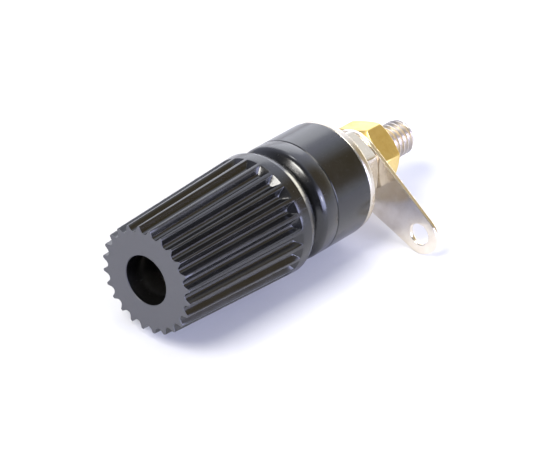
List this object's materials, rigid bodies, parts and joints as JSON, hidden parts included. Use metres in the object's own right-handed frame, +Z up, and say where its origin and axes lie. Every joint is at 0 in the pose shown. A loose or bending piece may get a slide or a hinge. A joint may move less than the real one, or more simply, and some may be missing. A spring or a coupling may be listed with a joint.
{
  "type": "insulated panel terminal",
  "caption": "Insulated panel terminal: grooved clamp knob with a plug socket, insulating bushes for a panel hole, and a rear stud with nuts and a solder tag.",
  "frame": {"origin": "on the post's axis in the panel plane, where the front and rear bushes meet", "axes": "+Y along the post towards the rear stud, -Y out of the socket in the knob, +Z up, with the post level as in an upright panel and the tag turned as when the part lies on a bench"},
  "size_m": [0.0192, 0.0414, 0.0138],
  "materials": {
    "black_moulding": "glossy moulded black",
    "insert_brass": "turned, plain",
    "plated_post": "turned and nickel plated",
    "nickel_hardware": "nickel plated",
    "tinned_tag": "stamped and bright tinned",
    "nut_brass": "plain, lightly tarnished"
  },
  "bodies": {
    "terminal": {"post": "plated_post", "front_bush": "black_moulding", "rear_bush": "black_moulding", "flat_washer": "nickel_hardware", "spring_washer": "nickel_hardware", "panel_nut": "nickel_hardware", "solder_tag": "tinned_tag", "terminal_nut": "nut_brass"},
    "screw_carrier": {"knob_insert": "insert_brass"},
    "clamp_knob": {"knob": "black_moulding"}
  },
  "joints": [
    {"name": "knob_travel", "type": "slide", "parent": "terminal", "child": "screw_carrier", "axis": [0, -1, 0], "range_m": [0, 0.0075]},
    {"name": "knob_turn", "type": "hinge", "parent": "screw_carrier", "child": "clamp_knob", "pos_m": [0, 0, 0], "axis": [0, -1, 0], "range_deg": [0, 3602]}
  ],
  "couplings": [
    {"joint": "knob_turn", "follows": "knob_travel", "rad_per_m": 8377.6}
  ]
}
